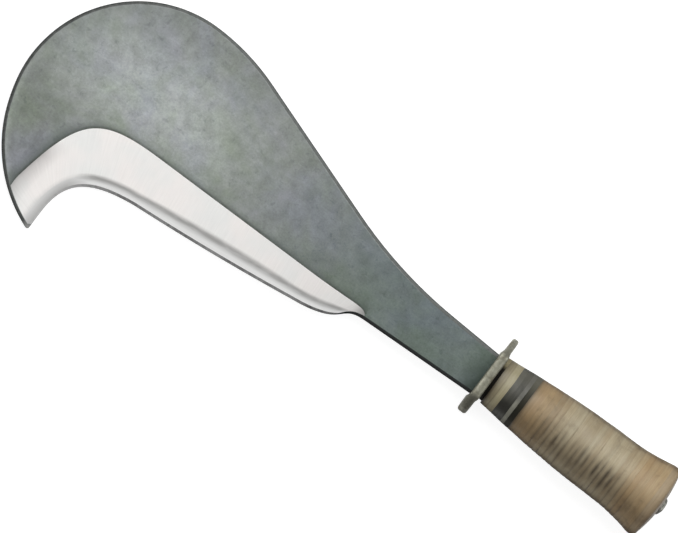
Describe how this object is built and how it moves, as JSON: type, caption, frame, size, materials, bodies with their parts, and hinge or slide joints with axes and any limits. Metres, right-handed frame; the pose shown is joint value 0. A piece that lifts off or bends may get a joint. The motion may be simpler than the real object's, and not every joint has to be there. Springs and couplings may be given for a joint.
{
  "type": "billhook",
  "caption": "Billhook with a wide hooked blade ground along its inner edge, an oval guard and an oval grip of stacked leather discs on a through tang, for cutting and trimming branches.",
  "frame": {"origin": "middle of the guard's face on the blade's side, on the tang's axis", "axes": "+X along the tang to the butt, +Y to the blade's back, +Z out of the blade's flat"},
  "size_m": [0.4205, 0.15, 0.0362],
  "materials": {
    "blade_steel": "dull forged steel with a bright ground bevel",
    "guard_steel": "dull, worn and slightly browned",
    "washer_steel": "dull",
    "fibre": "matte black fibre",
    "tan_leather": "worn",
    "dark_leather": "worn",
    "pale_leather": "worn",
    "black_leather": "worn",
    "brown_leather": "worn, with polished ridges",
    "butt_leather": "worn"
  },
  "bodies": {
    "root": {"band_disc": "black_leather", "blade": "blade_steel", "butt_disc": "butt_leather", "butt_washer": "washer_steel", "dark_disc_01": "dark_leather", "dark_disc_02": "dark_leather", "fibre_washer": "fibre", "guard": "guard_steel", "leather_disc_01": "brown_leather", "leather_disc_02": "brown_leather", "leather_disc_03": "brown_leather", "leather_disc_04": "brown_leather", "leather_disc_05": "brown_leather", "leather_disc_06": "brown_leather", "leather_disc_07": "brown_leather", "leather_disc_08": "brown_leather", "leather_disc_09": "brown_leather", "leather_disc_10": "brown_leather", "leather_disc_11": "brown_leather", "leather_disc_12": "brown_leather", "leather_disc_13": "brown_leather", "leather_disc_14": "brown_leather", "leather_disc_15": "brown_leather", "leather_disc_16": "brown_leather", "leather_disc_17": "brown_leather", "leather_disc_18": "brown_leather", "leather_disc_19": "brown_leather", "leather_disc_20": "brown_leather", "leather_disc_21": "brown_leather", "leather_disc_22": "brown_leather", "leather_disc_23": "brown_leather", "leather_disc_24": "brown_leather", "leather_disc_25": "brown_leather", "spacer_disc": "pale_leather", "tan_disc_01": "tan_leather", "tan_disc_02": "tan_leather"}
  },
  "joints": []
}
